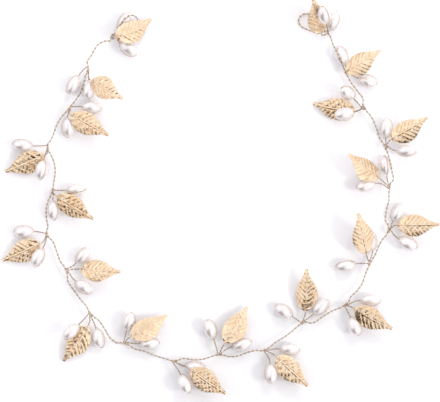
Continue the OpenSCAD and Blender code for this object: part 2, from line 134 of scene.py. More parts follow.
# %% Pearls, two for each sprig
# The same columns without the bow, and the roll is how far the returning strand is turned to
# the right of straight up.
PEARLS = [Row(*numbers) for numbers in [
    (121, 43, 136, 54, 0, 70, 0), (119.5, 29.5, 129.5, 13, 0, -60, 0),
    (78, 77, 69, 93, 8, 60, 0), (88, 81, 88.5, 98, 14, -75, 0),
    (82, 106.2, 101, 107.7, 0, 70, 0), (68, 118, 68.5, 137, 0, 75, 0),
    (32, 146, 12.5, 144.5, 0, 60, 0), (44, 160.4, 39.5, 179.9, 0, -40, 3.9),
    (67, 190, 85, 189, 8, 25, 0), (52.5, 201, 53, 219.5, 0, -50, 0),
    (33, 232, 14.5, 232.5, 0, 75, 0), (42.5, 249, 34, 265.5, 0, -60, 3.6),
    (76.5, 263, 90, 248, 0, -60, 0), (76, 281, 91, 292.5, 0, 60, 0),
    (79, 324, 64, 338, 8, -60, 5), (95.5, 329, 100.5, 348, 0, -70, 0),
    (126.2, 331, 131.2, 312, 6, 70, 1.2), (139, 344, 160.5, 343.5, 0, -60, 0),
    (180, 374, 189, 394, 8, -75, 2.4), (186, 367, 204, 369, 0, -80, 0),
    (213, 338, 207, 320.5, 8, 70, 1), (233.3, 347, 251.3, 342.5, 0, -60, 0),
    (270.5, 364, 271.5, 383, 10, 70, 1.5), (281, 348.7, 299, 349.2, 0, 60, 0),
    (291, 316.2, 276.3, 306.8, 10, 75, 0), (313, 314.2, 328.5, 298.9, 0, 70, 0),
    (350, 317, 358.5, 336, 8, -88, 1.2), (361, 300.2, 381, 299.7, 0, 60, 0),
    (355, 264.2, 336.5, 267.2, 0, 45, 0), (372, 250, 368.5, 231, 0, 80, 0),
    (393.5, 221.6, 403.5, 203, 0, -80, 0), (398.1, 238.7, 417.1, 248.7, 8, -75, 1.6),
    (374.5, 184, 357, 188, 8, 70, 1.6), (386.5, 174.5, 384, 155.5, 0, 20, 0),
    (385.5, 138.2, 386, 117.2, 0, 75, 0), (397.5, 150.4, 415, 151.6, 12, 50, 2.6),
    (353, 98.5, 341, 88, 36, 75, 2.4), (352.5, 112.3, 334.5, 115.8, 4, -80, 6.6),
    (345, 65, 337, 46.5, 0, 75, 0), (358.5, 78.5, 376.5, 84, 0, -75, 0),
    (325.5, 25, 321, 7.5, 25, 40, 9.4), (330, 28.6, 336.2, 12.2, 0, 60, 0),
]]
print(len(PEARLS), "pearls")

# %% [markdown]
# # Placing a piece
# A leaf or pearl is made along its own X axis, from base to tip, and then laid: rolled about
# its length, lifted at the tip, turned to its heading and set at its height. One rotation matrix
# does the first three. Blender's Euler angles could do it too, but the wires need the same
# placing for single points, so it is kept as a matrix in numpy.


# %% A rotation matrix from roll, lift and heading
def turned(axis, degrees):
    """Rotation about one axis: 0 is X, 1 is Y, 2 is Z."""
    c, s = math.cos(math.radians(degrees)), math.sin(math.radians(degrees))
    a, b = [(1, 2), (2, 0), (0, 1)][axis]
    matrix = np.eye(3)
    matrix[a, a], matrix[a, b], matrix[b, a], matrix[b, b] = c, -s, s, c
    return matrix


def laying(row, roll):
    heading = math.degrees(math.atan2(row.base_y - row.tip_y, row.tip_x - row.base_x))
    return turned(2, heading) @ turned(1, -row.lift) @ turned(0, roll)


def laid(points, row, roll, height):
    """Points of a piece made along X, in their place on the vine."""
    middle = plan((row.base_x + row.tip_x) / 2, (row.base_y + row.tip_y) / 2, height)
    return middle + np.asarray(points) @ laying(row, roll).T


print("the first leaf points along", laying(LEAVES[0], LEAVES[0].roll)[:, 0].round(2))

# %% Sizes of a pearl and the height of its middle
PEARL_LEN, PEARL_W, PEARL_BORE = 8.2, 5.4, 0.8


def pearl_height(row):
    lift = math.radians(row.lift)
    return row.rise + math.hypot(PEARL_LEN / 2 * math.sin(lift), PEARL_W / 2 * math.cos(lift))


print("a level pearl's middle is at", pearl_height(PEARLS[0]), "mm")

# %% [markdown]
# # The form of a leaf
# The real leaf is stamped from thin sheet: broad near its base, drawn out to a blunt tip, cupped
# across and arched along. Its half width and its height are formulas of the share of the length
# t and the share of the half width c. Formulas are chosen rather than a sculpted mesh, because
# the CAD leaf, the embossing, the teeth and the wire through the hole all need the same form.

# %% Half width, and height of the upper face
LEAF_LEN, LEAF_W, LEAF_T = 18.4, 10.0, 0.35
LEAF_CUP, LEAF_ARCH = 1.0, 0.9
WIDEST, BASE_SHARE, TIP_SHARE = 0.42, 0.12, 0.14
FULL_BEFORE, FULL_AFTER = 0.75, 0.85
HOLE_AT, HOLE_R = 2.0, 0.5


def half_width(t):
    t = np.asarray(t, dtype=float)
    before = BASE_SHARE + (1 - BASE_SHARE) * np.maximum(
        1 - (1 - np.minimum(t, WIDEST) / WIDEST) ** 2, 0
    ) ** FULL_BEFORE
    fall = (1 + np.cos(math.pi * (np.maximum(t, WIDEST) - WIDEST) / (1 - WIDEST))) / 2
    after = TIP_SHARE + (1 - TIP_SHARE) * fall ** FULL_AFTER
    return LEAF_W / 2 * np.where(t < WIDEST, before, after)


def leaf_z(t, c):
    return LEAF_ARCH * 4 * t * (1 - t) - LEAF_CUP * (half_width(t) * 2 / LEAF_W) ** 2 * c**2


def bowed(t, row):
    return row.bow * 16 * t**2 * (1 - t) ** 2


print("the leaf is widest at", WIDEST, "of its length:", 2 * half_width(WIDEST), "mm")

# %% Height of a laid leaf's middle, from the stations of the CAD leaf
CAD_STATIONS = np.array([0, 0.07, 0.17, 0.3, 0.44, 0.58, 0.72, 0.86, 1])
CAD_COLUMNS = np.array([-1, -0.5, 0, 0.5, 1])


def leaf_height(row):
    t, c = np.meshgrid(CAD_STATIONS, CAD_COLUMNS)
    upper = np.stack([(t - 0.5) * LEAF_LEN, bowed(t, row) + half_width(t) * c, leaf_z(t, c)])
    lower = upper - [[[0]], [[0]], [[LEAF_T]]]
    both = np.hstack([face.reshape(3, -1) for face in (upper, lower)])
    return row.rise - (laying(row, row.roll) @ both)[2].min()


heights = [leaf_height(row) for row in LEAVES]
print("leaf middles from", round(min(heights), 2), "to", round(max(heights), 2), "mm")

# %% [markdown]
# # Wire
# All the wire is round and drawn, about 0.25 mm thick, so one sweep makes every strand. Curve
# objects with a bevel could do it, but a twisted pair needs exact offsets from a shared middle
# line, and the export wants meshes. The path is first smoothed through its points, then swept
# by rings that turn no more than they must, which keeps a tube from pinching.


# %% A smooth path through points, at an even spacing
SAME_PLACE = 1e-6


def flowing(points, spacing, carried=None):
    """The path, and with it the values carried by the points, if there are any."""
    points = np.asarray(points, dtype=float)
    gaps = np.linalg.norm(np.diff(points, axis=0), axis=1)
    apart = np.r_[True, gaps > SAME_PLACE]
    points, gaps = points[apart], gaps[apart[1:]]
    run = np.r_[0, np.cumsum(gaps)]
    slopes = np.diff(points, axis=0) / gaps[:, None]
    weighed = slopes[:-1] * gaps[1:, None] + slopes[1:] * gaps[:-1, None]
    inner = weighed / (gaps[1:] + gaps[:-1])[:, None]
    tangents = np.vstack([slopes[:1], inner, slopes[-1:]])
    at = np.linspace(0, run[-1], max(2, int(math.ceil(run[-1] / spacing)) + 1))
    k = np.clip(np.searchsorted(run, at, side="right") - 1, 0, len(gaps) - 1)
    h = gaps[k][:, None]
    s = ((at - run[k]) / gaps[k])[:, None]
    path = (
        points[k] * (2 * s**3 - 3 * s**2 + 1) + points[k + 1] * (3 * s**2 - 2 * s**3)
        + tangents[k] * h * (s**3 - 2 * s**2 + s) + tangents[k + 1] * h * (s**3 - s**2)
    )
    return path if carried is None else (path, np.interp(at, run, carried[apart]))


print("a bend of three points is drawn with", len(flowing([(0, 0), (5, 0), (5, 5)], 0.5)))


# %% Two directions across a path, turning no more than they must
FIRST_ACROSS = np.array([0.1, 0.2, 1.0])


def unit(v):
    return v / np.linalg.norm(v)


def frames(path):
    tangents = np.gradient(path, axis=0)
    tangents /= np.linalg.norm(tangents, axis=1)[:, None]
    sides = np.empty_like(path)
    u = FIRST_ACROSS
    for i, t in enumerate(tangents):
        u = unit(u - t * (u @ t))
        sides[i] = u
    return sides, np.cross(tangents, sides)


print("across a path along X:", frames(np.eye(3)[:1] * [[0], [1]])[0][0].round(2))

# %% A tube swept along a path
TUBE_SIDES = 8


def tube(path, radius):
    """Vertices and faces of a round tube with flat ends."""
    u, v = frames(path)
    angles = np.arange(TUBE_SIDES) * 2 * math.pi / TUBE_SIDES
    rings = path[:, None] + radius * (
        np.cos(angles)[None, :, None] * u[:, None] + np.sin(angles)[None, :, None] * v[:, None]
    )
    a = np.arange((len(path) - 1) * TUBE_SIDES).reshape(-1, TUBE_SIDES)
    b = np.roll(a, -1, axis=1)
    quads = np.stack([a, b, b + TUBE_SIDES, a + TUBE_SIDES], axis=-1).reshape(-1, 4).tolist()
    last = len(path) * TUBE_SIDES
    ends = [list(range(TUBE_SIDES))[::-1], list(range(last - TUBE_SIDES, last))]
    return rings.reshape(-1, 3), quads + ends


print("a tube of two rings has", len(tube(np.eye(3)[:1] * [[0], [1]], 1)[1]), "faces")

# %% Several tubes or shells as one object
SMOOTH_BELOW = math.radians(60)


def piece(name, parts, material):
    """An object from parts of vertices (mm) and faces."""
    vertices, faces, start = [], [], 0
    for part_vertices, part_faces in parts:
        vertices.append(np.asarray(part_vertices))
        faces += [[start + i for i in face] for face in part_faces]
        start += len(part_vertices)
    mesh = bpy.data.meshes.new(name)
    mesh.from_pydata((np.vstack(vertices) * MM).tolist(), [], faces)
    mesh.shade_smooth()
    mesh.set_sharp_from_angle(angle=SMOOTH_BELOW)
    mesh.materials.append(material)
    made = bpy.data.objects.new(name, mesh)
    bpy.context.scene.collection.objects.link(made)
    return made


def stands_for(made, node):
    """Makes a piece move with the part and hides the node that it replaces."""
    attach(made, "root")
    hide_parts(node)


print("faces that meet at less than", round(math.degrees(SMOOTH_BELOW)), "degrees are smooth")

# %% [markdown]
# # Finishes as expressions
# A material is a graph of nodes. Written out one link at a time it is long and hard to read, so
# one small class wraps a socket and lets shader maths be written as ordinary expressions: each
# operator adds one Math node. Colours go through Mix, because a Math node would turn them grey.


# %% A socket that can be added, subtracted and multiplied
class Socket:
    def __init__(self, graph, socket):
        self.graph, self.socket = graph, socket

    def maths(self, operation, *values):
        return self.graph.node("ShaderNodeMath", {"operation": operation}, dict(enumerate(values)))

    def __add__(self, other): return self.maths("ADD", self, other)
    def __radd__(self, other): return self.maths("ADD", other, self)
    def __sub__(self, other): return self.maths("SUBTRACT", self, other)
    def __rsub__(self, other): return self.maths("SUBTRACT", other, self)
    def __mul__(self, other): return self.maths("MULTIPLY", self, other)
    def __rmul__(self, other): return self.maths("MULTIPLY", other, self)


# %% A graph that makes nodes
class Graph:
    """The nodes of one material or of the world."""

    def __init__(self, owner):
        owner.use_nodes = True
        self.tree = owner.node_tree
        self.tree.nodes.clear()

    def node(self, kind, settings=None, inputs=None, output=0):
        made = self.tree.nodes.new(kind)
        for name, value in (settings or {}).items():
            setattr(made, name, value)
        for name, value in (inputs or {}).items():
            if isinstance(value, Socket):
                self.tree.links.new(value.socket, made.inputs[name])
            else:
                made.inputs[name].default_value = value
        return Socket(self, made.outputs[output]) if made.outputs else None

    def mixed(self, share, first, second):
        """Colour from first to second by share. Sockets 0, 6 and 7 are the factor and colours."""
        colours = [c if isinstance(c, Socket) else (*c, 1) for c in (first, second)]
        settings = {"data_type": "RGBA"}
        return self.node("ShaderNodeMix", settings, {0: share, 6: colours[0], 7: colours[1]}, 2)

    def noise(self, where, scale, detail=2.0, roughness=0.5):
        inputs = {"Vector": where, "Scale": scale, "Detail": detail, "Roughness": roughness}
        return self.node("ShaderNodeTexNoise", {}, inputs)

    def between(self, value, low, high, to_low=0.0, to_high=1.0):
        """Eases from to_low at low to to_high at high."""
        return self.node(
            "ShaderNodeMapRange", {"interpolation_type": "SMOOTHSTEP"},
            {0: value, 1: low, 2: high, 3: to_low, 4: to_high},
        )


print("a graph gives", [name for name in vars(Graph) if not name.startswith("_")])


# %% A material from a function that gives its sockets
def finish_of(name, surface):
    """A material whose Principled sockets are given by surface(graph, place on the piece)."""
    material = bpy.data.materials.new(name)
    graph = Graph(material)
    place = graph.node("ShaderNodeTexCoord", output=3)
    shader = graph.node("ShaderNodeBsdfPrincipled", {}, surface(graph, place))
    graph.node("ShaderNodeOutputMaterial", {}, {"Surface": shader})
    print("finish", name, "has", len(graph.tree.nodes), "nodes")
    return material


# %% [markdown]
# # Gold plate, gold wire and pearl
# The leaves are plated a pale champagne gold and polished: a full metal, a little more peach in
# some places, with a fine beaten grain. The grain is too small for the mesh, so it is a bump.
# The wire is the same metal but drawn, duller, and darker where it is worn. Two strands that are
# twisted together look dotted: each is bright on top and in shade where they lie side by side. At
# this size the lights alone hardly show that, so each ring of a strand carries a number, its
# crest, and the finish paints that shade into the colour: a painted shade where the strands lie
# side by side. A pearl is a white body under a clear pearly coat, so the shader's own coat is
# used, with a body colour that drifts from cream to a cool pink.
#
# The scale of a noise is in features for each metre: 260 drifts over 4 mm, and 2600 is a grain
# of 0.4 mm.


# %% Pale gold of the leaves
LEAF_PALE, LEAF_PEACH = (0.84, 0.66, 0.465), (0.80, 0.585, 0.375)
LEAF_ROUGHNESS = (0.045, 0.1)
DENT_EDGE = 0.16
DENT_HEIGHT = 0.0001


def leaf_gold(graph, place):
    drift = graph.noise(place, 260, 3, 0.6)
    grain = graph.noise(place, 2600)
    cells = graph.node(
        "ShaderNodeTexVoronoi", {"feature": "DISTANCE_TO_EDGE"}, {"Vector": place, "Scale": 1250}
    )
    beaten = graph.between(cells, 0.0, DENT_EDGE) + grain * 0.25
    bump = {"Strength": 0.32, "Distance": DENT_HEIGHT, "Height": beaten}
    return {
        "Base Color": graph.mixed(graph.between(drift, 0.35, 0.7), LEAF_PALE, LEAF_PEACH),
        "Metallic": 1.0,
        "Roughness": graph.between(drift + grain * 0.3, 0.3, 0.9, *LEAF_ROUGHNESS),
        "Normal": graph.node("ShaderNodeBump", {}, bump),
    }


gold_leaf = finish_of("pale_gold_leaf", leaf_gold)

# %% Drawn gold wire
# The attribute that tells the wire finish where to paint shade.
CREST = "crest"
PAINTED_SHADE_CREST = (0.35, 0.92)
WIRE_ROUGHNESS = (0.18, 0.3)
DRAWN_HEIGHT = 0.00003


def gold_with_painted_shade(bright, worn, dark):
    """Drawn gold, with painted shade where both strands lie side by side and its own colour where
    one is on top of the other.
    """
    def surface(graph, place):
        drift = graph.noise(place, 420)
        grain = graph.noise(place, 5000)
        crest = graph.node("ShaderNodeAttribute", {"attribute_name": CREST}, output=2)
        drawn = graph.mixed(graph.between(drift, 0.4, 0.75), bright, worn)
        bump = {"Strength": 0.2, "Distance": DRAWN_HEIGHT, "Height": grain}
        return {
            # Painted shade: the dark colour where the crest is low, where the strands lie side by
            # side.
            "Base Color": graph.mixed(graph.between(crest, *PAINTED_SHADE_CREST), dark, drawn),
            "Metallic": 1.0, "Roughness": graph.between(grain, 0.3, 0.7, *WIRE_ROUGHNESS),
            "Normal": graph.node("ShaderNodeBump", {}, bump),
        }
    return surface


# The third colour of each finish is painted shade, for where the strands lie side by side.
gold_strand = finish_of("gold_strand", gold_with_painted_shade(
    (0.74, 0.56, 0.40), (0.50, 0.37, 0.25), (0.28, 0.18, 0.10)
))
long_strand = finish_of("long_wire_strand", gold_with_painted_shade(
    (0.76, 0.60, 0.39), (0.62, 0.46, 0.28), (0.24, 0.15, 0.07)
))

# %% Pearl
PEARL_CREAM, PEARL_PINK = (0.84, 0.80, 0.78), (0.80, 0.74, 0.735)
RIPPLE_HEIGHT = 0.0001


def pearl_coat(graph, place):
    drift = graph.noise(place, 210)
    bump = {"Strength": 0.12, "Distance": RIPPLE_HEIGHT, "Height": graph.noise(place, 900)}
    return {
        "Base Color": graph.mixed(graph.between(drift, 0.35, 0.7), PEARL_CREAM, PEARL_PINK),
        "Metallic": 0.5, "Roughness": 0.22, "Coat Weight": 0.4, "Coat Roughness": 0.1,
        "Normal": graph.node("ShaderNodeBump", {}, bump),
    }


pearl_finish = finish_of("pearl_coat", pearl_coat)

# %% [markdown]
# # The long wire
# Two strands are twisted together and bent to the layout. At each knot the wire is straight for
# 3 mm. The middle line runs through the chart's points, and each strand goes round it as a
# helix, half a turn behind the other. The strands stand a little apart, which lets the turns
# be told apart from above, as they are on the real wire.

# %% The route of its middle
WRAP_LEN = 3.0
ROUTE_SPACING = 0.3


def charted(points):
    return [plan(*p) for p in points]


def knot_direction(i):
    before = LEFT_EYE[-1] if i == 0 else STRETCHES[i - 1][-1]
    after = RIGHT_EYE[-1] if i == len(KNOTS) - 1 else STRETCHES[i][0]
    return unit(plan(*after[:2]) - plan(*before[:2]))


def through_knot(i):
    return [plan(*KNOTS[i]) + knot_direction(i) * WRAP_LEN / 2 * side for side in (-1, 1)]


route = charted(LEFT_EYE)
for i, stretch in enumerate(STRETCHES):
    route += through_knot(i) + charted(stretch)
route += through_knot(len(KNOTS) - 1) + charted(RIGHT_EYE)[::-1]
route = flowing(route, ROUTE_SPACING)
length = np.linalg.norm(np.diff(route, axis=0), axis=1).sum()
print("the long wire is", round(length), "mm long")

# %% Two strands round it
LONG_STRAND_R, LONG_OFFSET, LONG_TWIST = 0.125, 0.2, 3.6


def twisted(path):
    """Two strands round a path, and how far each of their points is on top, which the finish turns
    into painted shade.
    """
    u, v = frames(path)
    run = np.r_[0, np.cumsum(np.linalg.norm(np.diff(path, axis=0), axis=1))]
    angle = (run / LONG_TWIST * 2 * math.pi)[:, None]
    lean = np.cos(angle) * u + np.sin(angle) * v
    return [path + side * LONG_OFFSET * lean for side in (-1, 1)], np.abs(lean[:, 2])


def give_crests(wire, crests):
    """Tells the finish how far each ring of a tube is on top of its twisted pair, so that it
    paints shade where the pair lies side by side.
    """
    values = wire.data.attributes.new(CREST, "FLOAT", "POINT").data
    values.foreach_set("value", np.repeat(crests, TUBE_SIDES))


pair, crest = twisted(route)
strands = [tube(strand, LONG_STRAND_R) for strand in pair]
long_wire = piece("long_wire", strands, long_strand)
give_crests(long_wire, np.tile(crest, len(pair)))
stands_for(long_wire, "core_wire")
print("the long wire has", len(long_wire.data.polygons), "faces")

# %% [markdown]
# # A sprig's wire
# One strand makes a whole sprig. It winds round the long wire, runs out to a pearl, goes through
# its bore, comes back over it and twists with itself into a stem, then winds on to the leaf and
# to the second pearl. It could be made from separate rings, stems and loops, but they would have
# visible ends. So it is one path: each part below gives its points, and one sweep makes it.

# %% Sizes of the windings and the stems
WRAP_R, WRAP_PITCH, WRAP_STEP = 0.47, 0.34, 30
END_TURN, LEAST_TURN = 300.0, 120.0
PAIR_APART = 0.42
STEM_START, STEM_BEND, STEM_SPACING = 0.85, 0.4, 0.3
STEM_OFFSET, STEM_TWIST = 0.15, 2.2
SPRIG_STRAND_R, SPRIG_SPACING = 0.12, 0.2
OFF_PEARL, OFF_LEAF = 0.34, 0.22
BEFORE_PEARL, BEFORE_LEAF, PAST_HOLE = 0.5, 0.9, 0.1
print("two turns round the long wire take", 2 * WRAP_PITCH, "mm of it")

# %% Through a pearl and back over it
OVER_PEARL = np.radians(np.arange(14, 167, 8))


def pearl_loop(row):
    a, b = PEARL_LEN / 2 + OFF_PEARL, PEARL_W / 2 + OFF_PEARL
    over = np.stack([a * np.cos(OVER_PEARL), 0 * OVER_PEARL, b * np.sin(OVER_PEARL)], axis=1)
    through = [[-PEARL_LEN / 2, 0, 0], [0, 0, 0], [PEARL_LEN / 2 + PAST_HOLE, 0, 0.02]]
    return laid(np.vstack([through, over]), row, row.roll, pearl_height(row))


def pearl_stem_end(row):
    end = [-PEARL_LEN / 2 - BEFORE_PEARL, 0, STEM_OFFSET]
    return laid([end], row, row.roll, pearl_height(row))[0]


print("the first pearl's stem ends at", pearl_stem_end(PEARLS[0]).round(1), "mm")


# %% Through the hole of a leaf and back over its base
def leaf_loop(row):
    base, t = -LEAF_LEN / 2, HOLE_AT / LEAF_LEN
    top, side = float(leaf_z(t, 0)), bowed(t, row)
    points = [
        [base, 0, -LEAF_T - OFF_LEAF], [base + HOLE_AT * 0.6, side / 2, top - LEAF_T - OFF_LEAF],
        [base + HOLE_AT, side, top - LEAF_T], [base + HOLE_AT + PAST_HOLE, side, top],
        [base + HOLE_AT * 0.7, side / 2, top + OFF_LEAF + PAST_HOLE], [base, 0, OFF_LEAF],
    ]
    return laid(points, row, row.roll, leaf_height(row))


def leaf_stem_end(row):
    end = [-LEAF_LEN / 2 - BEFORE_LEAF, 0, -LEAF_T / 2]
    return laid([end], row, row.roll, leaf_height(row))[0]


print("the first leaf's stem ends at", leaf_stem_end(LEAVES[0]).round(1), "mm")

# %% Windings round the long wire
UP = np.array([0.0, 0.0, 1.0])


def wound(i, angles, ahead, radius):
    """Points round the long wire at knot i, at angles from its left side."""
    t = knot_direction(i)
    left = unit(np.cross(UP, t))
    angles = np.radians(np.atleast_1d(angles))[:, None]
    ahead = np.atleast_1d(ahead)[:, None]
    return plan(*KNOTS[i]) + t * ahead + (left * np.cos(angles) + UP * np.sin(angles)) * radius


def leaving_angle(i, end):
    away = end - plan(*KNOTS[i])
    return math.degrees(math.atan2(away[2], away @ unit(np.cross(UP, knot_direction(i)))))


first_end = pearl_stem_end(PEARLS[0])
print("the first stem leaves its knot at", round(leaving_angle(0, first_end)), "degrees")


# %% The two sides of a stem
def stem(i, angle, ahead, row, end):
    """The strand on its way out, and on its way back, as a twisted pair."""
    start = wound(i, angle, ahead, STEM_START)[0]
    facing = laying(row, 0)[:, 0]
    chord = unit(end - start)
    reach = np.linalg.norm(end - start)
    bend = end - facing * reach * STEM_BEND
    s = np.linspace(0, 1, 2 + int(reach / STEM_SPACING))[:, None]
    line = start * (1 - s) ** 2 + bend * 2 * s * (1 - s) + end * s**2
    first = unit(knot_direction(i) - chord * (knot_direction(i) @ chord))
    second = np.cross(chord, first)
    last = laying(row, row.roll)[:, 2]
    twist = math.atan2(last @ second, last @ first) + round(reach / STEM_TWIST) * 2 * math.pi
    lean = first * np.cos(twist * s) + second * np.sin(twist * s)
    # The crest goes along with the pair, for the painted shade of the finish.
    return line - lean * STEM_OFFSET, line + lean * STEM_OFFSET, np.abs(lean[:, 2])


out, back, crest = stem(0, leaving_angle(0, first_end), 0, PEARLS[0], first_end)
print("the first stem has", len(out), "points out and", len(back), "back")


# %% One sprig's whole path
def winding(start, end):
    """Degrees from one stem on to the next, at least LEAST_TURN."""
    ahead = (end - start) % 360
    return ahead + 360 if ahead < LEAST_TURN else ahead


def sprig_path(i):
    first, second, leaf = PEARLS[2 * i], PEARLS[2 * i + 1], LEAVES[i]
    stops = [
        (first, pearl_stem_end(first), pearl_loop(first)),
        (leaf, leaf_stem_end(leaf), leaf_loop(leaf)),
        (second, pearl_stem_end(second), pearl_loop(second)),
    ]
    angles = [leaving_angle(i, end) for _, end, _ in stops]
    turns = [END_TURN, winding(angles[0], angles[1]), winding(angles[1], angles[2]), END_TURN]
    starts = [angles[0] - END_TURN, *angles]
    whole = sum(turns) * WRAP_PITCH / 360 + 3 * PAIR_APART
    ahead, points, crests = -whole / 2, [], []
    for k, (turn, start) in enumerate(zip(turns, starts)):
        share = np.linspace(0, 1, 2 + int(turn / WRAP_STEP))
        along = ahead + turn * share * WRAP_PITCH / 360
        points.append(wound(i, start + turn * share, along, WRAP_R))
        crests.append(np.ones(len(share)))
        ahead += turn * WRAP_PITCH / 360
        if k < len(stops):
            row, end, loop = stops[k]
            out, back, crest = stem(i, angles[k], ahead + PAIR_APART / 2, row, end)
            points += [out, loop, back[::-1]]
            crests += [crest, np.ones(len(loop)), crest[::-1]]
            ahead += PAIR_APART
    return flowing(np.vstack(points), SPRIG_SPACING, np.concatenate(crests))


print("the first sprig's path has", len(sprig_path(0)[0]), "points")

# %% All the sprigs
SPRIGS_PER_NODE = 3
for i in range(len(KNOTS)):
    sprig, crest = sprig_path(i)
    wire = piece(f"sprig_wire_{i + 1:02d}", [tube(sprig, SPRIG_STRAND_R)], gold_strand)
    give_crests(wire, crest)
    stands_for(wire, f"sprig_wires_{i // SPRIGS_PER_NODE + 1}")
print("a sprig's wire has", len(wire.data.polygons), "faces")

# %% [markdown]
# # Pearls
# Each pearl is an oval bead, turned about its bore. A scaled sphere would be close, but it has
# no bore, and its poles pinch where the wire goes in. So the outline is turned round the bore,
# and the same rings run back through it, which closes the bead. The outline is a little fuller
# at one end, as imitation pearls are after their coating.


# %% One bead
RINGS, AROUND = 40, 40
BEAD_FIT = 0.999
BORE_FIT = 0.8
BORE_LIP = 0.05


def pearl_bead(fuller):
    """Vertices and faces of a bead that is fuller towards one end."""
    opening = math.asin(PEARL_BORE / PEARL_W)
    a = np.linspace(opening, math.pi - opening, RINGS)
    along = PEARL_LEN / 2 * np.cos(a)
    radius = BEAD_FIT * PEARL_W / 2 * np.sin(a) ** (1 - fuller * np.cos(a))
    along = np.r_[along, along[-1] + BORE_LIP, along[0] - BORE_LIP]
    radius = np.r_[radius, PEARL_BORE / 2 * BORE_FIT, PEARL_BORE / 2 * BORE_FIT]
    angles = np.arange(AROUND) * 2 * math.pi / AROUND
    rings = np.stack([
        np.repeat(along[:, None], AROUND, 1),
        radius[:, None] * np.cos(angles), radius[:, None] * np.sin(angles),
    ], axis=-1)
    a = np.arange(len(along) * AROUND).reshape(-1, AROUND)
    b = np.roll(a, -1, axis=1)
    faces = np.stack([a, np.roll(a, -1, axis=0), np.roll(b, -1, axis=0), b], axis=-1)
    return rings.reshape(-1, 3), faces.reshape(-1, 4).tolist()


print("an even bead has", len(pearl_bead(0)[0]), "vertices")

# %% All the pearls
FULLER = 0.06
shaping = np.random.default_rng(7)
for k, row in enumerate(PEARLS):
    sprig, side = k // 2 + 1, "ab"[k % 2]
    points, faces = pearl_bead(shaping.uniform(-FULLER, FULLER))
    points = laid(points, row, shaping.uniform(0, 360), pearl_height(row))
    bead = piece(f"pearl_{sprig:02d}_{side}", [(points, faces)], pearl_finish)
    stands_for(bead, f"pearls_{sprig:02d}")
print("a pearl has", len(bead.data.polygons), "faces")

# %% [markdown]
# # Leaves
# A leaf is one thin embossed sheet. Raised side veins run out from the midrib and curve towards
# the tip. The panels between them are nearly flat and crossed by finer ridges, which is why one
# leaf shines pale and the next shows dark: a flat panel mirrors one part of the studio. A
# displacement texture could press the veins in, but a plain grid would cut across them. So the
# rows of the mesh run along the veins and stand closer beside each one, the teeth of the edge
# are where rows end, and the relief stays crisp with few faces.

# %% Rows along the veins
VEINS, VEINS_APART, VEIN_START = range(-1, 11), 1.95, -8.5
VEIN_SLOPE, VEIN_CURVE = 0.72, 0.035
ROW_SHARES = [0, 0.07, 0.14, 0.22, 0.34, 0.5, 0.66, 0.78, 0.86, 0.93]
END_ROW_GAP = 0.05
BASE_FAN, TIP_FAN = (-9.5, -6.5), (6.5, 9.5)


def eased(x, low, high):
    """0 at low, 1 at high, and smooth between."""
    s = np.clip((x - low) / (high - low), 0, 1)
    return s * s * (3 - 2 * s)


def vein_rows():
    """Where each row starts on the midrib."""
    half = LEAF_LEN / 2
    starts = [VEIN_START + (k + share) * VEINS_APART for k in VEINS for share in ROW_SHARES]
    inside = [x for x in starts if -half + END_ROW_GAP < x < half - END_ROW_GAP]
    return np.array([-half, *inside, half])


def along_row(start, y):
    """How far along the leaf a row is when it is y from the midrib."""
    lean = eased(start, *BASE_FAN) * (1 - 0.9 * eased(start, *TIP_FAN))
    x = start + lean * (VEIN_SLOPE * np.abs(y) + VEIN_CURVE * y**2)
    return np.clip(x, -LEAF_LEN / 2, LEAF_LEN / 2)


print("a leaf has", len(vein_rows()), "rows")

# %% Where rows end, and the teeth there
HALVINGS = 40
TOOTH, TOOTH_RISE, TOOTH_STEP = 0.42, 0.8, 0.2


def row_ends(start):
    """How far from the midrib each row meets the edge, by halving."""
    low, high = np.zeros_like(start), np.full_like(start, LEAF_W / 2 + 0.2)
    for _ in range(HALVINGS):
        y = (low + high) / 2
        inside = half_width(along_row(start, y) / LEAF_LEN + 0.5) > y
        low, high = np.where(inside, y, low), np.where(inside, high, y)
    return low


def teeth(start):
    """How far the edge steps in: a tooth widens towards the tip, then steps back."""
    share = (start - VEIN_START) / VEINS_APART * 2 % 1.0
    rise, step = 1 - share / TOOTH_RISE, (share - TOOTH_RISE) / TOOTH_STEP
    saw = np.where(share < TOOTH_RISE, rise, step)
    return TOOTH * saw * eased(start, -8.5, -6) * (1 - 0.8 * eased(start, 4.5, 9))


print("the deepest tooth is", round(teeth(vein_rows()).max(), 2), "mm")

# %% Relief
# Heights and widths in mm.
VEIN, VEIN_WIDE = 0.2, 0.17
CROSS_VEIN, CROSS_WIDE, CROSS_APART = 0.06, 0.15, 0.85
MIDRIB, MIDRIB_WIDE, MIDRIB_FADE = 0.2, 0.22, 0.05
GROOVE, GROOVE_WIDE, GROOVE_OFF = 0.06, 0.2, 0.5
HOLLOW, CRUMPLE = 0.05, 0.03
CRUMPLE_FULL, UNEVEN = 2.5, 0.55


def ridge(distance, wide):
    return np.exp(-((distance / wide) ** 2))


def cross_distance(turn, share, y):
    """Distance from the nearest cross vein, which wander and differ from panel to panel."""
    shift = 0.37 * np.floor(turn) + 0.12 * np.sin(5 * share + 3 * np.floor(turn))
    along = np.abs(y) / CROSS_APART + shift
    return np.abs(along - np.round(along)) * CROSS_APART


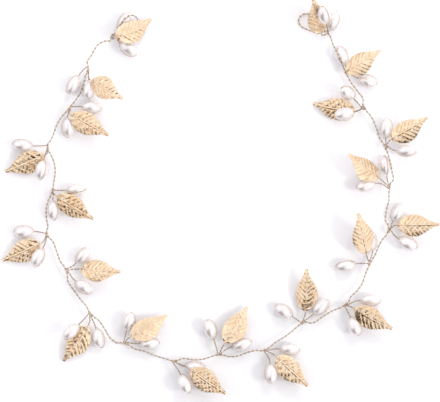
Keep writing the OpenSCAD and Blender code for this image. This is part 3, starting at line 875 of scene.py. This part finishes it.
def relief(start, x, y, c, crumples):
    """Height of the embossing: veins are strong where cross veins are weak, and the reverse."""
    turn = (start - VEIN_START) / VEINS_APART
    share = turn % 1.0
    slope = VEIN_SLOPE + 2 * VEIN_CURVE * np.abs(y)
    from_vein = np.minimum(share, 1 - share) * VEINS_APART / np.sqrt(1 + slope**2)
    panel = 1 - ridge(from_vein, 2 * VEIN_WIDE)
    clear = eased(np.abs(y), 0.15, 0.6) * (1 - 0.5 * eased(np.abs(c), 0.9, 1.0))
    rib = MIDRIB * ridge(y, MIDRIB_WIDE) * (1 - MIDRIB_FADE * (x + LEAF_LEN / 2))
    groove = GROOVE * ridge(np.abs(y) - GROOVE_OFF, GROOVE_WIDE)
    crumple = sum(np.sin(a * x + b * y + shift) for a, b, shift in crumples)
    uneven = 1 + UNEVEN * np.clip(crumple / CRUMPLE_FULL, -1, 1)
    hole = eased(np.hypot(x + LEAF_LEN / 2 - HOLE_AT, y), 0.6, 1.3)
    tip = 1 - 0.5 * eased(x, 6, 9.5)
    pressed = (
        VEIN * uneven * ridge(from_vein, VEIN_WIDE) - HOLLOW * np.sin(math.pi * share)
        + CROSS_VEIN * (2 - uneven) * ridge(cross_distance(turn, share, y), CROSS_WIDE) * panel
    )
    return (pressed * clear * tip + rib - groove) * hole + CRUMPLE * crumple


print("on the midrib a leaf is raised by", relief(0.0, 0.0, 0.0, 0.0, []).round(2), "mm")

# %% The grid that every leaf shares
ACROSS, EDGE_CLOSER = 48, 1.15


def leaf_grid():
    """Row start, share of the half width, x and y of each point, and which lie in the hole."""
    starts = vein_rows()
    u = np.linspace(-1, 1, ACROSS + 1)
    start, c = np.meshgrid(starts, np.sign(u) * np.abs(u) ** EDGE_CLOSER, indexing="ij")
    y = c * (row_ends(starts) - teeth(starts))[:, None]
    from_hole = along_row(start, y) + LEAF_LEN / 2 - HOLE_AT
    away = np.hypot(from_hole, y)
    inside = away < HOLE_R
    grow = np.where(inside, HOLE_R / np.maximum(away, SAME_PLACE), 1)
    return start, c, from_hole * grow - LEAF_LEN / 2 + HOLE_AT, y * grow, inside


START, EDGE_SHARE, GRID_X, GRID_Y, IN_HOLE = leaf_grid()
print("the grid is", START.shape, "points,", IN_HOLE.sum(), "of them moved to the hole's edge")


# %% Faces of a thin closed sheet over the grid
def sheet_faces(inside):
    """The top, open at the hole, the same faces turned over below it, and the rim."""
    number = np.arange(inside.size).reshape(inside.shape)
    a, b, d, e = number[:-1, :-1], number[1:, :-1], number[1:, 1:], number[:-1, 1:]
    hole = inside[:-1, :-1] & inside[1:, :-1] & inside[1:, 1:] & inside[:-1, 1:]
    upper = np.stack([a, b, d, e], axis=-1)[~hole].tolist()
    count = inside.size
    edges = {(p, q) for face in upper for p, q in zip(face, face[1:] + face[:1])}
    rim = [[q, p, p + count, q + count] for p, q in sorted(edges) if (q, p) not in edges]
    lower = [[i + count for i in face[::-1]] for face in upper]
    return upper + lower + rim


SHEET_FACES = sheet_faces(IN_HOLE)
print("a leaf has", len(SHEET_FACES), "faces")

# %% Points of one leaf
SHEET_T = 0.26
TIP_BENDS_FROM = 0.6


def leaf_points(row, pressed, cup, arch, tip_bend, crumples):
    t = GRID_X / LEAF_LEN + 0.5
    share = GRID_Y / half_width(t)
    z = (
        leaf_z(t, share) + pressed * relief(START, GRID_X, GRID_Y, EDGE_SHARE, crumples)
        + arch * 4 * t * (1 - t) - cup * (half_width(t) * 2 / LEAF_W) ** 2 * share**2
        + tip_bend * eased(t, TIP_BENDS_FROM, 1.0) ** 2
    )
    top = np.stack([GRID_X, GRID_Y + bowed(t, row), z], axis=-1).reshape(-1, 3)
    return np.vstack([top, top - [0, 0, SHEET_T]])


print("a flat leaf reaches", leaf_points(LEAVES[0], 0, 0, 0, 0, []).max(axis=0).round(2), "mm")

# %% All the leaves, each bent a little differently
# How strongly each leaf is embossed, and a size that keeps it inside the box of its node.
PRESSED = [
    1.0, 0.8, 1.2, 1.35, 1.8, 1.2, 0.9, 1.2, 0.4, 1.1, 0.9,
    1.0, 1.0, 0.85, 0.8, 0.9, 0.9, 0.9, 1.3, 0.5, 1.0,
]
LEAF_FIT = 0.999
CRUMPLES, CRUMPLE_TURNS = 8, 3.2

for k, row in enumerate(LEAVES):
    crumples = shaping.uniform(
        (-CRUMPLE_TURNS, -CRUMPLE_TURNS, 0), (CRUMPLE_TURNS, CRUMPLE_TURNS, 6.28), (CRUMPLES, 3)
    )
    cup, arch = shaping.uniform(-0.25, 0.25), shaping.uniform(-0.15, 0.15)
    tip_bend = shaping.uniform(-0.3, 0.2)
    points = leaf_points(row, PRESSED[k], cup, arch, tip_bend, crumples) * LEAF_FIT
    points = laid(points, row, row.roll, leaf_height(row))
    leaf = piece(f"gold_leaf_{k + 1:02d}", [(points, SHEET_FACES)], gold_leaf)
    stands_for(leaf, f"leaf_{k + 1:02d}")
print("the last leaf spans", [round(size / MM, 1) for size in leaf.dimensions], "mm")

# %% [markdown]
# # Floor, light and camera
# The photo is a high key product shot: a white surface, big soft lights all round, and a dark
# opening towards the lower left, which shows as a grey spot on every pearl and as the dark panels
# of the leaves. The dome is a world shader by direction, which lights and reflects at once. Two
# soft lights at the right give the faint shadows. The surface also glows a little, which is
# painted light that lifts its shadows, but not round a place low in the picture, because the
# photo's shadows are deepest there. The camera looks straight down with a long lens, so that
# pieces at different heights keep their places on the chart.


# %% Directions of the studio dome
# Each is a direction, the degrees from it within which the patch is full, and the degrees
# beyond which it is gone.
OPENING = (-0.27, -0.45, 0.85), 12, 19
OPENING_BELOW = (-0.45, -0.78, 0.5), 18, 27
BOX_TOP = (0.35, 0.9, 0.85), 10, 18
BOX_RIGHT = (0.9, -0.2, 0.85), 10, 18
BOX_LEFT = (-0.85, 0.45, 0.7), 8, 20
FRONT = (-0.45, -0.85, 0.15), 15, 50
OVERHEAD = (0.02, 0.15, 1), 10, 35
HORIZON = (0.0, 0.4)
DOME_LIGHT = 1.24
DOME_WHITE, OPENING_BROWN = (0.955, 0.955, 1.0), (1.0, 0.76, 0.56)
tilt = math.acos(unit(np.array(OPENING[0]))[2])
print("the opening is", round(math.degrees(tilt)), "degrees from straight up")


# %% The studio dome
def studio_dome():
    world = bpy.data.worlds.new("studio")
    bpy.context.scene.world = world
    graph = Graph(world)
    direction = graph.node("ShaderNodeTexCoord", output=0)

    def patch(towards, inner, outer):
        both = {0: direction, 1: unit(np.array(towards, dtype=float)).tolist()}
        near = graph.node("ShaderNodeVectorMath", {"operation": "DOT_PRODUCT"}, both, 1)
        return graph.between(near, math.cos(math.radians(outer)), math.cos(math.radians(inner)))

    dark = 1 - (1 - patch(*OPENING)) * (1 - patch(*OPENING_BELOW))
    height = graph.node("ShaderNodeSeparateXYZ", {}, {0: direction}, 2)
    low = graph.between(height, *HORIZON, 1.0, 0.0)
    light = (
        DOME_LIGHT * (1 - 0.92 * dark) * (1 - 0.6 * patch(*FRONT))
        * (1 - 0.15 * patch(*OVERHEAD)) * (1 - 0.2 * low) * (1 + 0.5 * patch(*BOX_TOP))
        * (1 + 0.5 * patch(*BOX_RIGHT)) * (1 + 0.4 * patch(*BOX_LEFT))
    )
    colour = graph.mixed(dark, DOME_WHITE, OPENING_BROWN)
    shade = graph.node("ShaderNodeBackground", {}, {"Color": colour, "Strength": light})
    graph.node("ShaderNodeOutputWorld", {}, {"Surface": shade})
    print("the dome has", len(graph.tree.nodes), "nodes")


studio_dome()

# %% Two soft lights
LAMP_SIZE, LAMP_COLOUR = 0.25, (1, 0.96, 0.9)


def soft_light(name, place, power):
    """A round lamp that faces the middle of the vine and isn't seen in reflections."""
    lamp = bpy.data.lights.new(name, "AREA")
    lamp.shape, lamp.size, lamp.energy, lamp.color = "DISK", LAMP_SIZE, power, LAMP_COLOUR
    made = bpy.data.objects.new(name, lamp)
    facing = (-Vector(place)).to_track_quat("-Z", "Y").to_matrix().to_4x4()
    made.matrix_world = Matrix.Translation(place) @ facing
    made.visible_glossy = False
    bpy.context.scene.collection.objects.link(made)
    print(name, "is", round(Vector(place).length, 2), "m away")


soft_light("soft_top_right", BOX_TOP[0], 2.8)
soft_light("soft_right", BOX_RIGHT[0], 4.2)

# %% White floor, with a painted glow
FLOOR = 3.0
FLOOR_COOL, FLOOR_WARM = (0.785, 0.78, 0.795), (0.795, 0.79, 0.80)
DIM_PLACE, DIM_REACH = (0.025, -0.085, 0), (0.03, 0.11)
PAINTED_GLOW_LEAST, PAINTED_GLOW_MOST = (0.1, 0.1, 0.105), (0.80, 0.785, 0.83)


def white_floor_painted_glow(graph, place):
    """White, with painted light: a glow that grows with the distance from one place."""
    both = {0: place, 1: DIM_PLACE}
    from_dim = graph.node("ShaderNodeVectorMath", {"operation": "DISTANCE"}, both, 1)
    glow = graph.mixed(graph.between(from_dim, *DIM_REACH), PAINTED_GLOW_LEAST, PAINTED_GLOW_MOST)
    return {
        "Base Color": graph.mixed(graph.noise(place, 3), FLOOR_COOL, FLOOR_WARM),
        "Roughness": 0.8, "Specular IOR Level": 0.2,
        # Painted light: the floor glows, though it is no lamp.
        "Emission Color": glow, "Emission Strength": 0.16,
    }


corners = [(-FLOOR, -FLOOR, 0), (FLOOR, -FLOOR, 0), (FLOOR, FLOOR, 0), (-FLOOR, FLOOR, 0)]
floor_mesh = bpy.data.meshes.new("floor")
floor_mesh.from_pydata(corners, [], [(0, 1, 2, 3)])
floor_mesh.materials.append(finish_of("white_floor_painted_glow", white_floor_painted_glow))
floor = bpy.data.objects.new("floor", floor_mesh)
bpy.context.scene.collection.objects.link(floor)

# %% Camera straight above the middle of the photo
PHOTO = (440, 402)
LENS, SENSOR = 250.0, 36.0
MEAN_HEIGHT = 0.004
FAR_ENOUGH = 20
look = plan(PHOTO[0] / 2, PHOTO[1] / 2) * MM
width = PHOTO[0] * STEP * MM
camera_data = bpy.data.cameras.new("camera")
camera_data.lens, camera_data.sensor_width = LENS, SENSOR
camera_data.clip_end = FAR_ENOUGH
camera = bpy.data.objects.new("camera", camera_data)
camera.location = (look[0], look[1], width * LENS / SENSOR + MEAN_HEIGHT)
bpy.context.scene.collection.objects.link(camera)
bpy.context.scene.camera = camera
bpy.context.scene.view_settings.view_transform = "Standard"
print("the camera is", round(camera.location.z, 3), "m up")

# %% [markdown]
